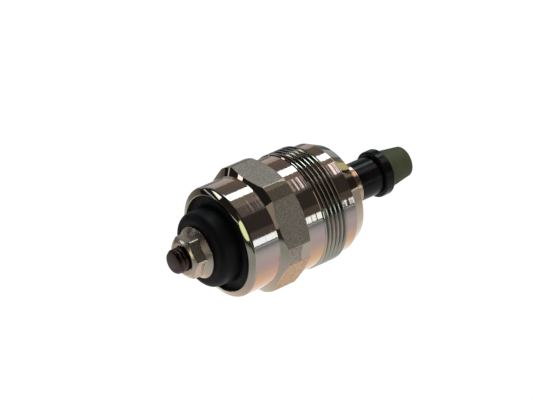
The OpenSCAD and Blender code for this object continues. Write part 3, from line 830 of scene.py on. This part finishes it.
# Seals and insulation inside. Rubber rings and a gasket keep fuel and water out, and a
# pressed fibre disc and a plastic sleeve keep the live lead off the steel.
seal_rubber = skin_material("seal_rubber", (0.012, 0.012, 0.013), (0.024, 0.024, 0.025), (0.5, 0.7))
for node in ("tube_ring", "core_ring", "stud_ring", "cap_gasket"):
    dress(node, seal_rubber)
pressed_fibre = skin_material(
    "pressed_fibre", (0.3, 0.16, 0.07), (0.4, 0.23, 0.11), (0.7, 0.9),
    grain_mm=0.3, patch_mm=1.2, depth_mm=0.02,
)
dress("insulating_disc", pressed_fibre)
sleeve_plastic = skin_material("sleeve_finish", (0.66, 0.66, 0.62), (0.76, 0.76, 0.72), (0.3, 0.45))
dress("lead_sleeve", sleeve_plastic)

# Insulator cap. Black moulded thermoset, held down by the rolled lip, with a satin face and a
# raised boss under the terminal.
cap_plastic = skin_material(
    "moulded_cap", (0.0016, 0.0013, 0.0017), (0.003, 0.0025, 0.003), (0.42, 0.6),
    grain_mm=0.25, patch_mm=3.0, depth_mm=0.012, Specular_IOR_Level=0.12,
)
dress("insulator_cap", cap_plastic)

# Terminal stud. A bronze screw with a rolled thread and a square head inside the cap. Its
# tail is riveted over the contact strip.
stud_bronze, tree, shader = start_material("stud_bronze_finish", Metallic=1.0)
skin = place_group(tree, fine_skin, {"Grain mm": 0.1, "Patch mm": 1.2})
patina = add_node(
    tree, "ShaderNodeMapRange", {"Value": skin["Patches"], "From Min": 0.35, "From Max": 0.65}
)
colour = mix_colours(tree, patina.outputs[0], (0.045, 0.028, 0.026, 1), (0.11, 0.072, 0.068, 1))
tree.links.new(colour, shader.inputs["Base Color"])
gloss = add_node(tree, "ShaderNodeMapRange", {"Value": skin["Patches"], "To Min": 0.3, "To Max": 0.5})
tree.links.new(gloss.outputs[0], shader.inputs["Roughness"])
tree.links.new(add_bump(tree, skin["Height"], 0.006), shader.inputs["Normal"])

stud_r = 2.5
stud_root_r = 2.0
stud_pitch = 0.8
stud_head_w = 7.0
stud_tail_r = 1.25
stud_rivet_r = 1.85
z_rivet = 16.3
z_strip = 16.7
z_chamber = 17.2
z_head_top = 18.7
z_stud = 28.05
z_stud_last = z_stud - 0.06
z_stud_thread = 20.0
z_stud_chamfer = 27.5
stud_chamfer_slope = 0.75
stud_runout = 0.6
stud_tip = ((2.12, z_stud - 0.04), (1.95, z_stud), (0, z_stud))


def stud_thread_limit(z, radius):
    """The stud's thread runs out at its foot and ends in a chamfer at its tip."""
    fade = min(1, max(0, (z - z_stud_thread) / stud_runout))
    depth = stud_r - radius
    chamfer = stud_r - max(0, z - z_stud_chamfer) * stud_chamfer_slope
    return min(stud_r - depth * fade, chamfer)


def stud_outline(angle):
    """Half of the stud's outline: riveted tail, square head, thread and tip."""
    side = stud_head_w / 2 / math.cos(from_side(angle, 0, 4))
    foot = soften([
        (0, z_rivet, 0), (stud_rivet_r, z_rivet, 0.15), (stud_rivet_r, z_strip, 0),
        (stud_tail_r, z_strip, 0), (stud_tail_r, z_chamber, 0), (side, z_chamber, 0.1),
        (side, z_head_top, 0.1), (stud_r, z_head_top, 0.05), (stud_r, z_stud_thread, 0),
    ])
    thread = thread_rows(
        angle, z_stud_thread, z_stud_last, stud_pitch, stud_r, stud_root_r, stud_thread_limit
    )
    return foot + thread + list(stud_tip)


stud = turned_mesh(
    "threaded_stud", [math.radians(3 * k) for k in range(120)], stud_outline, closed=False, sharp_deg=38
)
stud.data.materials.append(stud_bronze)
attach(stud, "body")
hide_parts("terminal_stud")

# Terminal nut. A zinc plated hexagon nut with a flange, cold formed, with turned crown and
# tapped bore. It clamps the feed wire's eyelet.
nut_zinc, tree, shader = start_material("nut_zinc", Metallic=1.0)
film = place_group(
    tree, passivate_film,
    {"Cloud mm": 2.5, "Depth": 0.4, "Plate": (0.42, 0.39, 0.34, 1), "Rose": (0.44, 0.36, 0.33, 1)},
)
skin = place_group(tree, fine_skin, {"Grain mm": 0.2, "Patch mm": 1.2})
# Painted grazing sheen over the nut's film colour
colour = paint_grazing_sheen(tree, film["Color"], (0.3, 0.45, 0.62, 0.85), 0.6)
tree.links.new(colour, shader.inputs["Base Color"])
gloss = add_node(tree, "ShaderNodeMapRange", {"Value": skin["Patches"], "To Min": 0.18, "To Max": 0.34})
tree.links.new(gloss.outputs[0], shader.inputs["Roughness"])
tree.links.new(add_bump(tree, skin["Patches"], 0.012), shader.inputs["Normal"])

nut_flat_r = 3.9
nut_corner_r = nut_flat_r / math.cos(math.pi / 6)
nut_turn = math.radians(39)
nut_low = 21.92
nut_high = 25.82
nut_flange_r = 5.25
nut_rim = 0.45
nut_flange_h = 1.45
nut_crown = 1.2
nut_corner_wear = 0.05
nut_countersink = 0.2
nut_clearance = 0.04
nut_root_clearance = 0.1


def nut_thread_limit(z, radius):
    """The tapped bore clears the stud by a little and opens in a countersink at each end."""
    clear = radius + nut_clearance
    sink = max(nut_low + nut_countersink - z, z - nut_high + nut_countersink, 0)
    return max(clear, stud_root_r + nut_root_clearance + sink)


def nut_outline(angle):
    """The nut's closed outline: flange, its cone, the hexagon, the crown and the tapped bore."""
    across_r = nut_flat_r / math.cos(from_side(angle, nut_turn, 6))
    rounded = min(across_r, nut_corner_r - nut_corner_wear)
    up_cone = (nut_flange_r - rounded) / (nut_flange_r - nut_flat_r)
    cone = nut_low + nut_rim + up_cone * (nut_flange_h - nut_rim)
    crown_r = nut_corner_r - nut_crown
    crown = nut_high - (rounded - crown_r) * math.tan(math.pi / 6)
    bore = thread_rows(
        angle, nut_low, nut_high, stud_pitch, stud_r, stud_root_r, nut_thread_limit
    )
    outside = soften([
        (bore[0][0], nut_low, 0), (nut_flange_r, nut_low, 0.12),
        (nut_flange_r, nut_low + nut_rim, 0.1), (rounded, cone, 0.3), (rounded, crown, 0.18),
        (crown_r, nut_high, 0.4), (bore[-1][0], nut_high, 0),
    ])
    return outside + bore[::-1]


nut_columns = [math.radians(3 * k) + nut_turn for k in range(120)]
nut = turned_mesh("flanged_nut", nut_columns, nut_outline, closed=True, sharp_deg=38)
nut.data.materials.append(nut_zinc)
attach(nut, "nut")
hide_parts("terminal_nut")
